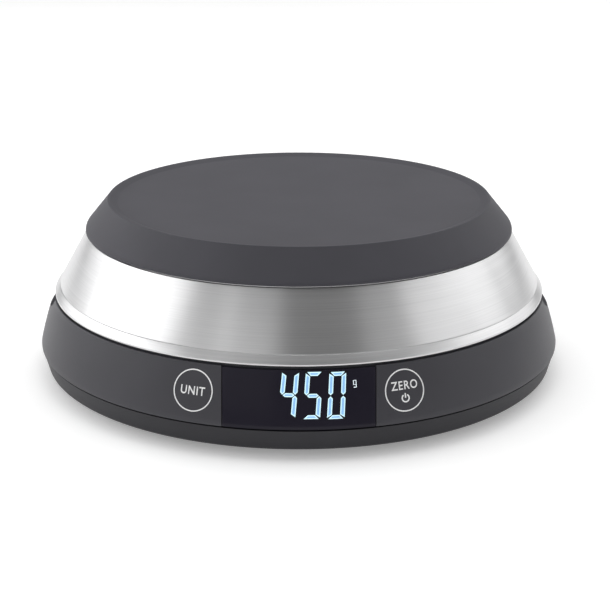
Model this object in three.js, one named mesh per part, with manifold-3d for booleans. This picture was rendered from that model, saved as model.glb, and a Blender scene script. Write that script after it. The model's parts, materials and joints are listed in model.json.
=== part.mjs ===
// A round digital kitchen scale with its weighing bowl turned upside down on the base.
// Millimetres, +Z up, the display faces -Y, and the origin is on the table under the middle.
import * as THREE from 'three';
import { mergeVertices } from 'three/addons/utils/BufferGeometryUtils.js';
import Module from 'manifold-3d';

const wasm = await Module();
wasm.setup();

// ---- driving dimensions ----

const GAP = 0.3; // between pieces that rest on each other
const FINE = 48; // sides of a large round piece
const COARSE = 16; // sides of a small round piece

const RIM_Z = 37; // the mouth of the upturned bowl
const RIM_R = 112.5;
const BOWL_FLOOR_Z = 76.1; // outside of the bowl's floor
const BOWL_WALL = 1.0;
const SLEEVE_Z = 65.2; // lower edge of the silicone base
const SLEEVE_R = 98.3;
const TOP_Z = 77.6; // flat middle of the silicone base
const LIP_Z = 78.9; // raised ring around it
const LIP_R = 87.8;
const BEND = [95.9, 68.2]; // the silicone side turns upright below here
const SIDE_SLOPE = 0.818; // radius lost per height above the bend

const HOUSING_TOP_Z = 36.2;
const HOUSING_TOP_R = 113;
const SEAM_Z = 12.9; // lower edge of the housing
const SEAM_R = 119.9; // the widest ring
const TRAY_TOP_Z = 12.3;
const TRAY_BOTTOM_Z = 3;
const FLOOR_Z = 5.2; // inside of the tray's floor

const PLATE_Z = RIM_Z - GAP; // top of the weighing platform
const PLATE_R = 111.4;
const NEST_Z = 32.5; // floor of the round nest for the upright bowl
const NEST_R = 89.5;
const PLATE_WALL = 2.2;
const PLATE_UNDER_Z = NEST_Z - PLATE_WALL;

const WINDOW_HALF = 30.7; // half the width of the display window
const WINDOW_WALL = 1.2;
const DISPLAY_TILT = THREE.MathUtils.degToRad(17);

const SCOOP = { x: 113, z: 37.5, deep: 14, wide: 27, high: 9.5 }; // finger recess at each side
const SCOOP_WALL = 2;
const SCOOP_CLEAR = 3.4; // the platform's notch around it

const CELL = { length: 80, side: 12.7, z: 9 }; // load cell bar, along X
const CELL_SCREW_X = [20, 34]; // distance of its screws from the middle
const SPREADER_Z = 25.3;
const SPREADER_WALL = 1.6;
const PLATFORM_SCREW_R = 60;

const SCREW_POST_R = 106; // circle of the housing screws
const DIAGONALS = [45, 135, 225, 315];
const FOOT = { circle: 92, r: 8, height: TRAY_BOTTOM_Z - GAP };

const AAA = { r: 5.25, length: 44.5, pitch: 11.2, z: 10.45 };
const BAY = { half: 22.6, front: 24.5, back: 75.5, top: 16.2, wall: 1.5 };
const DOOR = { wall: 1.8, play: 0.4 };

const BOARD = { width: 60, depth: 38, wall: 1.6, y: -44, z: 10 };

// ---- shapes ----

// The closed solid of a three.js geometry, for joining and cutting.
function solid(geometry) {
  const bare = geometry.clone();
  bare.deleteAttribute('normal');
  bare.deleteAttribute('uv');
  const merged = mergeVertices(bare, 1e-4);
  const corners = [];
  for (let i = 0; i < merged.index.count; i += 3) {
    const [a, b, c] = [0, 1, 2].map((k) => merged.index.getX(i + k));
    if (a !== b && b !== c && c !== a) corners.push(a, b, c);
  }
  const vertProperties = Float32Array.from(merged.getAttribute('position').array);
  const made = new wasm.Manifold(
    new wasm.Mesh({ numProp: 3, vertProperties, triVerts: Uint32Array.from(corners) }),
  );
  if (made.volume() > 0) return made;
  for (let i = 0; i < corners.length; i += 3) corners.splice(i, 2, corners[i + 1], corners[i]);
  return new wasm.Manifold(
    new wasm.Mesh({ numProp: 3, vertProperties, triVerts: Uint32Array.from(corners) }),
  );
}

function geometryOf(made) {
  const mesh = made.getMesh();
  const geometry = new THREE.BufferGeometry();
  const place = new Float32Array(mesh.numVert * 3);
  for (let i = 0; i < mesh.numVert; i += 1) {
    for (let k = 0; k < 3; k += 1) place[i * 3 + k] = mesh.vertProperties[i * mesh.numProp + k];
  }
  geometry.setAttribute('position', new THREE.BufferAttribute(place, 3));
  geometry.setIndex(Array.from(mesh.triVerts));
  geometry.computeVertexNormals();
  return geometry;
}

// A solid of revolution about Z. The profile's points are (radius, height).
function turned(profile, sides = FINE, bends = 3) {
  const points = profile.getPoints(bends);
  const first = points[0];
  const last = points[points.length - 1];
  const onAxis = first.x < 1e-6 && last.x < 1e-6;
  if (!onAxis && first.distanceTo(last) > 1e-6) points.push(first.clone());
  const lathe = new THREE.LatheGeometry(points, sides);
  lathe.rotateX(Math.PI / 2);
  return solid(lathe);
}

function outline(start, ...steps) {
  const path = new THREE.Path();
  path.moveTo(...start);
  for (const step of steps) {
    if (step.length === 2) path.lineTo(...step);
    else path.quadraticCurveTo(...step);
  }
  return path;
}

function box(low, high) {
  const size = high.map((value, i) => value - low[i]);
  const geometry = new THREE.BoxGeometry(...size);
  geometry.translate(...low.map((value, i) => value + size[i] / 2));
  return solid(geometry);
}

function post(r, x, y, lowZ, highZ, sides = COARSE) {
  const geometry = new THREE.CylinderGeometry(r, r, highZ - lowZ, sides);
  geometry.rotateX(Math.PI / 2);
  geometry.translate(x, y, (lowZ + highZ) / 2);
  return solid(geometry);
}

function rodAlongX(r, lowX, highX, y, z, sides = COARSE) {
  const geometry = new THREE.CylinderGeometry(r, r, highX - lowX, sides);
  geometry.rotateZ(Math.PI / 2);
  geometry.translate((lowX + highX) / 2, y, z);
  return solid(geometry);
}

function rodAlongY(r, x, lowY, highY, z, sides = COARSE) {
  const geometry = new THREE.CylinderGeometry(r, r, highY - lowY, sides);
  geometry.translate(x, (lowY + highY) / 2, z);
  return solid(geometry);
}

function tube(points, r, steps, sides = 8) {
  const route = new THREE.CatmullRomCurve3(points.map((p) => new THREE.Vector3(...p)));
  const section = new THREE.Shape();
  section.absarc(0, 0, r, 0, Math.PI * 2);
  const geometry = new THREE.ExtrudeGeometry(section, {
    steps,
    curveSegments: sides / 2,
    extrudePath: route,
  });
  return solid(geometry);
}

const join = (...parts) => parts.reduce((whole, part) => whole.add(part));
const cut = (whole, ...tools) => tools.reduce((left, tool) => left.subtract(tool), whole);

function polar(r, degrees) {
  const angle = THREE.MathUtils.degToRad(degrees);
  return [r * Math.cos(angle), r * Math.sin(angle)];
}

// ---- materials ----

const finishes = {
  steel: { color: 0xbfc1c3, roughness: 0.32, metalness: 1 },
  silicone: { color: 0x58595d, roughness: 0.75, metalness: 0 },
  housing: { color: 0x4d4e52, roughness: 0.55, metalness: 0 },
  tray: { color: 0x46474b, roughness: 0.6, metalness: 0 },
  window: { color: 0x14141a, roughness: 0.08, metalness: 0 },
  display: { color: 0x1a1c22, roughness: 0.3, metalness: 0 },
  board: { color: 0x1f5a36, roughness: 0.5, metalness: 0 },
  chip: { color: 0x17171a, roughness: 0.5, metalness: 0 },
  copper: { color: 0xb87333, roughness: 0.35, metalness: 1 },
  aluminium: { color: 0xa9acb0, roughness: 0.4, metalness: 1 },
  screw: { color: 0x9a9ca0, roughness: 0.3, metalness: 1 },
  plate: { color: 0xb4b6b8, roughness: 0.45, metalness: 1 },
  rubber: { color: 0x26262a, roughness: 0.85, metalness: 0 },
  cell: { color: 0x34363c, roughness: 0.35, metalness: 0.2 },
  sealant: { color: 0xe6e4dc, roughness: 0.6, metalness: 0 },
  redWire: { color: 0xa32222, roughness: 0.5, metalness: 0 },
  blackWire: { color: 0x1b1b1d, roughness: 0.5, metalness: 0 },
  ribbon: { color: 0xd9d6cc, roughness: 0.5, metalness: 0 },
};

const scale = new THREE.Group();

function place(name, made, finish) {
  const mesh = new THREE.Mesh(geometryOf(made), new THREE.MeshStandardMaterial(finishes[finish]));
  mesh.name = name;
  scale.add(mesh);
  return mesh;
}

// ---- bowl ----

// Radius of the silicone side above its bend, moved inwards by a wall.
const sideRadius = (z, inwards) => BEND[0] - inwards - SIDE_SLOPE * (z - BEND[1]);

function steelBowl() {
  const grooveZ = RIM_Z + 4.1;
  const grooveR = RIM_R - 2;
  const sleeveR = SLEEVE_R - 1.05;
  const cornerZ = BOWL_FLOOR_Z - 1.4;
  const cornerR = sideRadius(cornerZ, 1.45);
  const hemR = RIM_R - 3.7;
  return turned(outline(
    [0, BOWL_FLOOR_Z - BOWL_WALL],
    [cornerR - 3, BOWL_FLOOR_Z - BOWL_WALL],
    [cornerR - 1.7, BOWL_FLOOR_Z - BOWL_WALL, cornerR - 1.1, cornerZ - 0.8],
    [sideRadius(BEND[1], 2.6), BEND[1]],
    [sleeveR - 1.2, SLEEVE_Z - 0.4],
    [grooveR - 1.1, grooveZ + 0.2],
    [hemR, RIM_Z + 2.6],
    [hemR, RIM_Z],
    [RIM_R - 0.4, RIM_Z],
    [RIM_R, RIM_Z, RIM_R, RIM_Z + 0.4],
    [grooveR + 0.4, grooveZ - 0.5],
    [grooveR, grooveZ],
    [grooveR + 0.1, grooveZ + 0.5],
    [sleeveR, SLEEVE_Z],
    [sideRadius(BEND[1], 1.45), BEND[1]],
    [cornerR, cornerZ],
    [cornerR - 0.9, BOWL_FLOOR_Z, cornerR - 2.7, BOWL_FLOOR_Z],
    [0, BOWL_FLOOR_Z],
  ));
}

function siliconeBase() {
  const under = BOWL_FLOOR_Z + GAP;
  const innerR = SLEEVE_R - 0.7;
  return turned(outline(
    [0, under],
    [86.6, under],
    [88.3, under, sideRadius(under - 1.3, 1.05), under - 1.3],
    [sideRadius(BEND[1], 1.05), BEND[1]],
    [innerR, SLEEVE_Z + 0.4],
    [innerR, SLEEVE_Z],
    [SLEEVE_R, SLEEVE_Z],
    [SLEEVE_R - 0.1, SLEEVE_Z + 0.9, ...BEND],
    [LIP_R, LIP_Z - 0.8],
    [LIP_R - 0.4, LIP_Z, LIP_R - 1.1, LIP_Z],
    [LIP_R - 2.6, LIP_Z, LIP_R - 4.8, TOP_Z],
    [0, TOP_Z],
  ));
}

place('steel_bowl', steelBowl(), 'steel');
place('silicone_base', siliconeBase(), 'silicone');

// ---- housing ring ----

const housingBend = [117.35, 24.6];

function housingOutside() {
  return [
    [SEAM_R - 0.7, SEAM_Z],
    [SEAM_R + 0.1, SEAM_Z, SEAM_R, SEAM_Z + 1.1],
    [...housingBend, HOUSING_TOP_R, HOUSING_TOP_Z - 0.4],
    [HOUSING_TOP_R - 0.1, HOUSING_TOP_Z, HOUSING_TOP_R - 0.5, HOUSING_TOP_Z],
  ];
}

function housingSolid() {
  return turned(outline([0, SEAM_Z], ...housingOutside(), [0, HOUSING_TOP_Z]));
}

function housingShell() {
  const [start, ...rest] = housingOutside();
  const insideR = PLATE_R + 0.5;
  return turned(outline(
    start,
    ...rest,
    [insideR, HOUSING_TOP_Z],
    [insideR, HOUSING_TOP_Z - 0.8],
    [housingBend[0] - 2.4, housingBend[1], SEAM_R - 2.6, SEAM_Z + 1.1],
    [SEAM_R - 2.6, SEAM_Z],
  ));
}

function scoop(side, extra) {
  const geometry = new THREE.SphereGeometry(1, 24, 12);
  geometry.rotateX(Math.PI / 2);
  geometry.scale(SCOOP.deep + extra, SCOOP.wide + extra, SCOOP.high + extra);
  geometry.translate(side * SCOOP.x, 0, SCOOP.z);
  return solid(geometry);
}

const screwPosts = DIAGONALS.map((angle) => ({ angle, at: polar(SCREW_POST_R, angle) }));
const POST = { r: 4, bottom: 8.4, top: 24, hole: 1.8, holeTop: 19.3 };

function housingPost({ angle, at }) {
  const rib = new THREE.BoxGeometry(11, 2.4, 7.4);
  rib.translate(SCREW_POST_R + 6.5, 0, 20.3);
  rib.rotateZ(THREE.MathUtils.degToRad(angle));
  return join(post(POST.r, ...at, POST.bottom, POST.top), solid(rib));
}

function upperHousing() {
  const whole = housingSolid();
  const scoopShells = [-1, 1].map((side) => scoop(side, SCOOP_WALL).intersect(whole));
  const posts = screwPosts.map((item) => housingPost(item).intersect(whole.add(
    box([-100, -100, 0], [100, 100, SEAM_Z + 1]),
  )));
  const holes = screwPosts.map(({ at }) => post(POST.hole, ...at, 0, POST.holeTop, 12));
  const scoops = [-1, 1].map((side) => scoop(side, 0));
  const reach = SEAM_R + 5;
  const aperture = box([-27.6, -reach, 16], [27.6, -90, 33.4]);
  const rebate = windowBand(WINDOW_HALF, WINDOW_WALL + GAP, SEAM_Z - 1, HOUSING_TOP_Z + 1);
  return cut(join(housingShell(), ...scoopShells, ...posts), ...holes, ...scoops, aperture, rebate);
}

// The outer skin of the housing between two heights, as wide as the display window.
function windowBand(half, depth, lowZ, highZ) {
  const [start, ...rest] = housingOutside();
  const core = turned(outline(
    [0, SEAM_Z - 1],
    [start[0] - depth, SEAM_Z - 1],
    [start[0] - depth, SEAM_Z],
    ...rest.map((step) => step.map((value, i) => (i % 2 ? value : value - depth))),
    [HOUSING_TOP_R - 0.5 - depth, HOUSING_TOP_Z + 2],
    [0, HOUSING_TOP_Z + 2],
  ));
  return cut(box([-half, -SEAM_R - 5, lowZ], [half, -80, highZ]), core);
}

function displayWindow() {
  const lowZ = SEAM_Z + 0.2;
  const highZ = HOUSING_TOP_Z - 0.5;
  const band = windowBand(WINDOW_HALF - GAP, WINDOW_WALL, lowZ, highZ);
  return band.intersect(housingSolid());
}

place('upper_housing', upperHousing(), 'housing');
place('display_window', displayWindow(), 'window');

// ---- bottom tray with its battery bay ----

function trayShell() {
  return turned(outline(
    [0, TRAY_BOTTOM_Z],
    [115.2, TRAY_BOTTOM_Z],
    [116.4, TRAY_BOTTOM_Z, 116.7, TRAY_BOTTOM_Z + 1.6],
    [118.7, TRAY_TOP_Z],
    [116.4, TRAY_TOP_Z],
    [116.4, TRAY_TOP_Z + 3.2],
    [115, TRAY_TOP_Z + 3.2],
    [115, TRAY_TOP_Z - 1.3],
    [113.4, FLOOR_Z],
    [0, FLOOR_Z],
  ));
}

const HINGE = { y: BAY.front + DOOR.play + DOOR.wall / 2, z: TRAY_BOTTOM_Z + DOOR.wall / 2 };
const boardPosts = [-24, 24];
const CELL_PAD_TOP = 7;

function bottomTray() {
  const bayOutside = box(
    [-BAY.half - BAY.wall, BAY.front - BAY.wall, TRAY_BOTTOM_Z + 0.5],
    [BAY.half + BAY.wall, BAY.back + BAY.wall, BAY.top + BAY.wall],
  );
  const bayInside = box([-BAY.half, BAY.front, -1], [BAY.half, BAY.back, BAY.top]);
  const cellPad = box([-CELL.length / 2 - 2, -10, FLOOR_Z - 1], [-13, 10, CELL_PAD_TOP]);
  const screwBosses = screwPosts.map(({ at }) => post(POST.r + 1, ...at, FLOOR_Z - 1, POST.bottom - GAP));
  const standoffs = boardPosts.map((x) => post(3, x, BOARD.y, FLOOR_Z - 1, BOARD.z - GAP));
  const screwHoles = screwPosts.flatMap(({ at }) => [
    post(1.8, ...at, 0, 12, 12),
    post(3.5, ...at, 0, 5.6),
  ]);
  const cellHoles = CELL_SCREW_X.flatMap((x) => [
    post(2.4, -x, 0, 0, 12, 12),
    post(4.2, -x, 0, 0, 5.5),
  ]);
  const boardHoles = boardPosts.map((x) => post(1.3, x, BOARD.y, FLOOR_Z + 1, 20, 12));
  const hingeHole = rodAlongX(1.2, -BAY.half - 1, BAY.half + 1, HINGE.y, HINGE.z, 12);
  const thumbNotch = post(7, 0, BAY.back + 1, 0, TRAY_BOTTOM_Z + 1.2, 24);
  const displayRoom = box([-38, -130, TRAY_TOP_Z], [38, -90, 20]);
  return cut(
    join(trayShell(), bayOutside, cellPad, ...screwBosses, ...standoffs),
    bayInside, ...screwHoles, ...cellHoles, ...boardHoles, hingeHole, thumbNotch, displayRoom,
  );
}

function batteryDoor() {
  const half = BAY.half - DOOR.play;
  const panel = box(
    [-half, HINGE.y, TRAY_BOTTOM_Z],
    [half, BAY.back - DOOR.play, TRAY_BOTTOM_Z + DOOR.wall],
  );
  const knuckle = rodAlongX(DOOR.wall / 2, -half, half, HINGE.y, HINGE.z);
  const stubs = [-1, 1].map((side) => {
    const ends = [side * (half - 1), side * (half + 1)].sort((a, b) => a - b);
    return rodAlongX(0.7, ...ends, HINGE.y, HINGE.z, 12);
  });
  return join(panel, knuckle, ...stubs);
}

place('bottom_tray', bottomTray(), 'tray');
place('battery_door', batteryDoor(), 'tray');

// ---- screws, washers and feet ----

// A pan-head screw standing head down; its head starts at lowZ.
function screw(headR, headHigh, shankR, length, sides = 12) {
  return turned(outline(
    [0, 0],
    [headR, 0],
    [headR, headHigh],
    [shankR, headHigh],
    [shankR, headHigh + length],
    [0, headHigh + length],
  ), sides);
}

function placeScrew(name, made, x, y, z, headUp = false) {
  const mesh = place(name, made, 'screw');
  if (headUp) mesh.rotation.x = Math.PI;
  mesh.position.set(x, y, z);
}

DIAGONALS.forEach((angle, i) => {
  const [x, y] = polar(SCREW_POST_R, angle);
  placeScrew(`housing_screw_${i + 1}`, screw(3, 1.9, 1.5, 13), x, y, 3.4);
  const foot = turned(outline(
    [0, 0],
    [FOOT.r - 0.8, 0],
    [FOOT.r, 0, FOOT.r, 0.8],
    [FOOT.r, FOOT.height],
    [0, FOOT.height],
  ), 24, 2);
  place(`rubber_foot_${i + 1}`, foot, 'rubber').position.set(...polar(FOOT.circle, angle), 0);
});

// ---- load cell and what it carries ----

const cellTop = CELL.z + CELL.side;

function loadCell() {
  const half = CELL.side / 2;
  const middleZ = CELL.z + half;
  const bar = box([-CELL.length / 2, -half, CELL.z], [CELL.length / 2, half, cellTop]);
  const flexures = [-7, 7].map((x) => rodAlongY(4.4, x, -10, 10, middleZ, 20));
  const slot = box([-7, -10, middleZ - 1.5], [7, 10, middleZ + 1.5]);
  const holes = [-1, 1].flatMap((side) => CELL_SCREW_X.map((x) => post(2.3, side * x, 0, 0, 30, 12)));
  return cut(bar, ...flexures, slot, ...holes);
}

function cellSpacer(side, lowZ, highZ) {
  const ends = [side * 14, side * (CELL.length / 2)].sort((a, b) => a - b);
  const plate = box([ends[0], -CELL.side / 2, lowZ], [ends[1], CELL.side / 2, highZ]);
  return cut(plate, ...CELL_SCREW_X.map((x) => post(2.4, side * x, 0, 0, 40, 12)));
}

function loadSpreader() {
  const topZ = SPREADER_Z + SPREADER_WALL;
  const hub = post(44, 0, 0, SPREADER_Z, topZ, 40);
  const arms = [45, 135].map((angle) => {
    const arm = new THREE.BoxGeometry(2 * PLATFORM_SCREW_R + 16, 20, SPREADER_WALL);
    arm.rotateZ(THREE.MathUtils.degToRad(angle));
    arm.translate(0, 0, SPREADER_Z + SPREADER_WALL / 2);
    return solid(arm);
  });
  const cellHoles = CELL_SCREW_X.map((x) => post(2.4, x, 0, 0, 40, 12));
  const platformHoles = DIAGONALS.map((angle) => post(1.9, ...polar(PLATFORM_SCREW_R, angle), 0, 40, 12));
  return cut(join(hub, ...arms), ...cellHoles, ...platformHoles);
}

function weighingPlatform() {
  const nestTop = PLATE_Z - NEST_Z + NEST_R - 1.2;
  const skirtZ = PLATE_Z - 5.7;
  const plate = turned(outline(
    [0, PLATE_UNDER_Z],
    [NEST_R + 1.7, PLATE_UNDER_Z],
    [nestTop + 1.5, PLATE_Z - PLATE_WALL],
    [PLATE_R - 2, PLATE_Z - PLATE_WALL],
    [PLATE_R - 2, skirtZ],
    [PLATE_R, skirtZ],
    [PLATE_R, PLATE_Z - 0.5],
    [PLATE_R, PLATE_Z, PLATE_R - 0.5, PLATE_Z],
    [nestTop + 0.5, PLATE_Z],
    [nestTop, PLATE_Z, nestTop - 0.4, PLATE_Z - 0.5],
    [NEST_R, NEST_Z],
    [0, NEST_Z],
  ));
  const bossLow = SPREADER_Z + SPREADER_WALL + GAP;
  const bosses = DIAGONALS.map((angle) => post(4, ...polar(PLATFORM_SCREW_R, angle), bossLow, NEST_Z - 1));
  const holes = DIAGONALS.map((angle) => post(1.6, ...polar(PLATFORM_SCREW_R, angle), 0, NEST_Z - 1.2, 12));
  const notches = [-1, 1].map((side) => scoop(side, SCOOP_CLEAR));
  const displayRoom = box([-53, -130, 0], [53, -90, PLATE_Z - PLATE_WALL]);
  return cut(join(plate, ...bosses), ...holes, ...notches, displayRoom);
}

place('load_cell', loadCell(), 'aluminium');
place('load_cell_base_spacer', cellSpacer(-1, CELL_PAD_TOP + GAP, CELL.z - GAP), 'plate');
place('load_cell_top_spacer', cellSpacer(1, cellTop + GAP, SPREADER_Z - GAP), 'plate');
place('load_spreader', loadSpreader(), 'plate');
place('weighing_platform', weighingPlatform(), 'housing');

CELL_SCREW_X.forEach((x, i) => {
  placeScrew(`load_cell_base_screw_${i + 1}`, screw(3.8, 1.8, 2, 11.5), -x, 0, 3.4);
  const headTop = SPREADER_Z + SPREADER_WALL + GAP + 1.8;
  placeScrew(`load_cell_top_screw_${i + 1}`, screw(3.8, 1.8, 2, 14), x, 0, headTop, true);
});

DIAGONALS.forEach((angle, i) => {
  const at = polar(PLATFORM_SCREW_R, angle);
  placeScrew(`platform_screw_${i + 1}`, screw(2.8, 1.7, 1.25, 5.2), ...at, SPREADER_Z - GAP - 1.7);
});

for (const [name, z] of [['upper', cellTop + GAP], ['lower', CELL.z - GAP - 1]]) {
  place(`strain_gauge_cover_${name}`, box([-12, -5.5, z], [12, 5.5, z + 1]), 'sealant');
}

// ---- display and touch keys ----

function behindWindow(width, height, thick, frontR, centreZ) {
  const geometry = new THREE.BoxGeometry(width, thick, height);
  geometry.translate(0, thick / 2, 0);
  geometry.rotateX(-DISPLAY_TILT);
  geometry.translate(0, -frontR, centreZ);
  return solid(geometry);
}

const MODULE = { width: 54, height: 18.6, thick: 6, frontR: 110.4, z: 24.2 };
const boardR = MODULE.frontR - (MODULE.thick + GAP) / Math.cos(DISPLAY_TILT);

place('display_module', behindWindow(MODULE.width, MODULE.height, MODULE.thick, MODULE.frontR, MODULE.z), 'display');
place('display_board', behindWindow(64, 20, 1.6, boardR, MODULE.z - 1.8), 'board');

function touchElectrode(side) {
  const geometry = new THREE.CylinderGeometry(7, 7, 0.6, 24);
  geometry.rotateX(-DISPLAY_TILT);
  geometry.translate(0, -112.6, 26);
  geometry.rotateZ(side * THREE.MathUtils.degToRad(21.5));
  return solid(geometry);
}

place('unit_touch_electrode', touchElectrode(-1), 'copper');
place('zero_touch_electrode', touchElectrode(1), 'copper');

// ---- main board and leads ----

function mainBoard() {
  const half = BOARD.width / 2;
  const sheet = box(
    [-half, BOARD.y - BOARD.depth / 2, BOARD.z],
    [half, BOARD.y + BOARD.depth / 2, BOARD.z + BOARD.wall],
  );
  return cut(sheet, ...boardPosts.map((x) => post(1.6, x, BOARD.y, 0, 30, 12)));
}

const boardTop = BOARD.z + BOARD.wall;

place('main_board', mainBoard(), 'board');
place('controller_chip', box([-7, BOARD.y - 7, boardTop + GAP], [7, BOARD.y + 7, boardTop + 2.1]), 'chip');
boardPosts.forEach((x, i) => {
  placeScrew(`main_board_screw_${i + 1}`, screw(2.4, 1.4, 1, 4.6), x, BOARD.y, boardTop + GAP + 1.4, true);
});

function displayRibbon() {
  const boardFront = BOARD.y - BOARD.depth / 2 + 5;
  const wall = 0.4;
  const z = boardTop + GAP;
  const shape = new THREE.Shape();
  shape.moveTo(boardFront, z);
  shape.lineTo(-88, z);
  shape.quadraticCurveTo(-94.5, z, -96.6, 17);
  shape.lineTo(-96.6 + wall, 17);
  shape.quadraticCurveTo(-94.1, z + wall, -88, z + wall);
  shape.lineTo(boardFront, z + wall);
  const geometry = new THREE.ExtrudeGeometry(shape, { depth: 16, bevelEnabled: false, curveSegments: 6 });
  // The outline's (x, y) becomes (Y, Z), and its depth runs along X.
  geometry.applyMatrix4(new THREE.Matrix4().set(0, 0, 1, -8, 1, 0, 0, 0, 0, 1, 0, 0, 0, 0, 0, 1));
  return solid(geometry);
}

place('display_ribbon', displayRibbon(), 'ribbon');

for (const [name, x, finish] of [['red', 5, 'redWire'], ['black', -5, 'blackWire']]) {
  const lead = tube([
    [x, BAY.front - BAY.wall - GAP, 8.6],
    [x, 18, 7.2],
    [x, 9, 6.4],
    [x, -9, 6.4],
    [x, -18, 7.6],
    [x, BOARD.y + BOARD.depth / 2 + GAP, 10.8],
  ], 0.7, 16, 6);
  place(`battery_lead_${name}`, lead, finish);
}

place('load_cell_cable', tube([
  [-27, -CELL.side / 2 - GAP, 15.4],
  [-27, -12, 15],
  [-24, -20, 13.6],
  [-20, -26, boardTop + GAP + 1.2],
  [-18, -31, boardTop + GAP + 1.2],
], 1.2, 14, 8), 'sealant');

// ---- batteries and their contacts ----

const CONTACT = { wall: 0.4, width: 9, low: 6, high: 14.5, spring: 4.2 };
const cellX = (i) => (i - 1.5) * AAA.pitch;

// Cells 1 and 3 stand with the nub towards +Y, cells 2 and 4 with the nub towards -Y.
function batteryCell(i) {
  const nub = 1;
  const body = turned(outline(
    [0, 0],
    [AAA.r - 0.5, 0],
    [AAA.r, 0.5],
    [AAA.r, AAA.length - nub - 0.6],
    [AAA.r - 0.7, AAA.length - nub],
    [1.9, AAA.length - nub],
    [1.9, AAA.length],
    [0, AAA.length],
  ), COARSE);
  const mesh = place(`battery_cell_${i + 1}`, body, 'cell');
  const nubEnd = i % 2 ? BAY.front + CONTACT.wall + 2 * GAP : BAY.back - CONTACT.wall - 2 * GAP;
  mesh.rotation.x = i % 2 ? Math.PI / 2 : -Math.PI / 2;
  mesh.position.set(cellX(i), nubEnd + (i % 2 ? AAA.length : -AAA.length), AAA.z);
}

function conicalSpring(i) {
  const atFront = i % 2 === 0;
  const root = atFront ? BAY.front + GAP : BAY.back - GAP;
  const geometry = new THREE.CylinderGeometry(2, 3.6, CONTACT.spring + CONTACT.wall, 12);
  if (!atFront) geometry.rotateZ(Math.PI);
  const middle = (CONTACT.spring + CONTACT.wall) / 2;
  geometry.translate(cellX(i), root + (atFront ? middle : -middle), AAA.z);
  return solid(geometry);
}

// One contact strip joins the ends of the cells in the list; each spring meets a flat end.
function contactStrip(name, cells, atFront) {
  const wallY = atFront ? BAY.front + GAP : BAY.back - GAP - CONTACT.wall;
  const strip = box(
    [cellX(cells[0]) - CONTACT.width / 2, wallY, CONTACT.low],
    [cellX(cells[cells.length - 1]) + CONTACT.width / 2, wallY + CONTACT.wall, CONTACT.high],
  );
  const springs = cells.filter((i) => (i % 2 === 0) === atFront).map(conicalSpring);
  place(name, join(strip, ...springs), 'plate');
}

for (let i = 0; i < 4; i += 1) batteryCell(i);
contactStrip('battery_contact_front_1', [0], true);
contactStrip('battery_contact_front_2', [1, 2], true);
contactStrip('battery_contact_front_3', [3], true);
contactStrip('battery_contact_back_1', [0, 1], false);
contactStrip('battery_contact_back_2', [2, 3], false);

export default scale;
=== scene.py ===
import json
import math

import bmesh
import bpy
from mathutils import Matrix, Vector


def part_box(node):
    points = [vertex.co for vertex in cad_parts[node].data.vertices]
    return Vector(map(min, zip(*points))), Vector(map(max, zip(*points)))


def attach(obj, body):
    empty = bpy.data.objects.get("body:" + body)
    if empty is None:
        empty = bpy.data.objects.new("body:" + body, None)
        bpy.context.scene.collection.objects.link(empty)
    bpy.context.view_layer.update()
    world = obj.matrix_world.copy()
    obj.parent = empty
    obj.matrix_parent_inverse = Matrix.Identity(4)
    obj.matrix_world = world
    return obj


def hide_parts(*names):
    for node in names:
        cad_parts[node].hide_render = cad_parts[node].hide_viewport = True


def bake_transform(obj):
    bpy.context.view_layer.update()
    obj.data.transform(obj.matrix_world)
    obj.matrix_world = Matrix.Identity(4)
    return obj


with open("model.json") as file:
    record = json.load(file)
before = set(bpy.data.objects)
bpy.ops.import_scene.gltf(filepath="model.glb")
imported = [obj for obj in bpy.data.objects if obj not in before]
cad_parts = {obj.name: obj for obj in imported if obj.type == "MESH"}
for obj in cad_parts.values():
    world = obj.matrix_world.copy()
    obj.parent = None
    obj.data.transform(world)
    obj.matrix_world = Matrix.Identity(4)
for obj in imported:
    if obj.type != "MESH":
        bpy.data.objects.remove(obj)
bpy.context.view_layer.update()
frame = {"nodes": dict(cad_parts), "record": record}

# Lengths here are in millimetres until a mesh is made: MM turns them into metres.
MM = 0.001
STEPS = 256  # sides of a round piece
CREASE = math.radians(35)  # edges sharper than this stay sharp


def box_mm(node):
    return [[v / MM for v in corner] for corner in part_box(node)]


RIM_R, _, BOWL_TOP = box_mm("steel_bowl")[1]
RIM_Z = box_mm("steel_bowl")[0][2]
SLEEVE_R = box_mm("silicone_base")[1][0] - 0.8  # the visual bowl is a little slimmer here
SLEEVE_Z = box_mm("silicone_base")[0][2]
BEND_R = 95.9  # the silicone side turns upright below this ring
BEND_Z = 68.2
SIDE_SLOPE = 0.818  # radius lost per height above the bend
LIP_R = 87.8
LIP_Z = box_mm("silicone_base")[1][2]

HOUSING_TOP_R = 113.0
HOUSING_TOP = box_mm("upper_housing")[1][2]
SEAM_R = box_mm("upper_housing")[1][0]
SEAM_Z = 12.9
TRAY_R = box_mm("bottom_tray")[1][0] + 0.6  # wide enough for the seam to show as a dark line
TRAY_Z = box_mm("bottom_tray")[0][2]
TRAY_TOP = 12.3

_, PLATE_R, PLATE_Z = box_mm("weighing_platform")[1]  # the radius along Y, clear of the side notches
PLATE_WALL = 2.2
NEST_R = 89.5
NEST_Z = 32.5

WINDOW_HALF = 30.4
WINDOW_LOW = 13.2
WINDOW_HIGH = 35.7
WINDOW_WALL = 1.2

SCOOP_X = 113.0
SCOOP_Z = 37.5
SCOOP_SIZE = (14.0, 27.0, 9.5)
SCOOP_WALL = 2.0
SCOOP_CLEAR = 3.4

KEY_ANGLE = 21.25  # degrees to each side of the middle of the display
KEY_Z = 25.6
KEY_R = 8.3
KEY_LINE = 0.48
POWER_LINE = 0.55
PRINT_PROUD = 0.07  # the print stands this far off the housing
PRINT_THICK = 0.12

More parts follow.
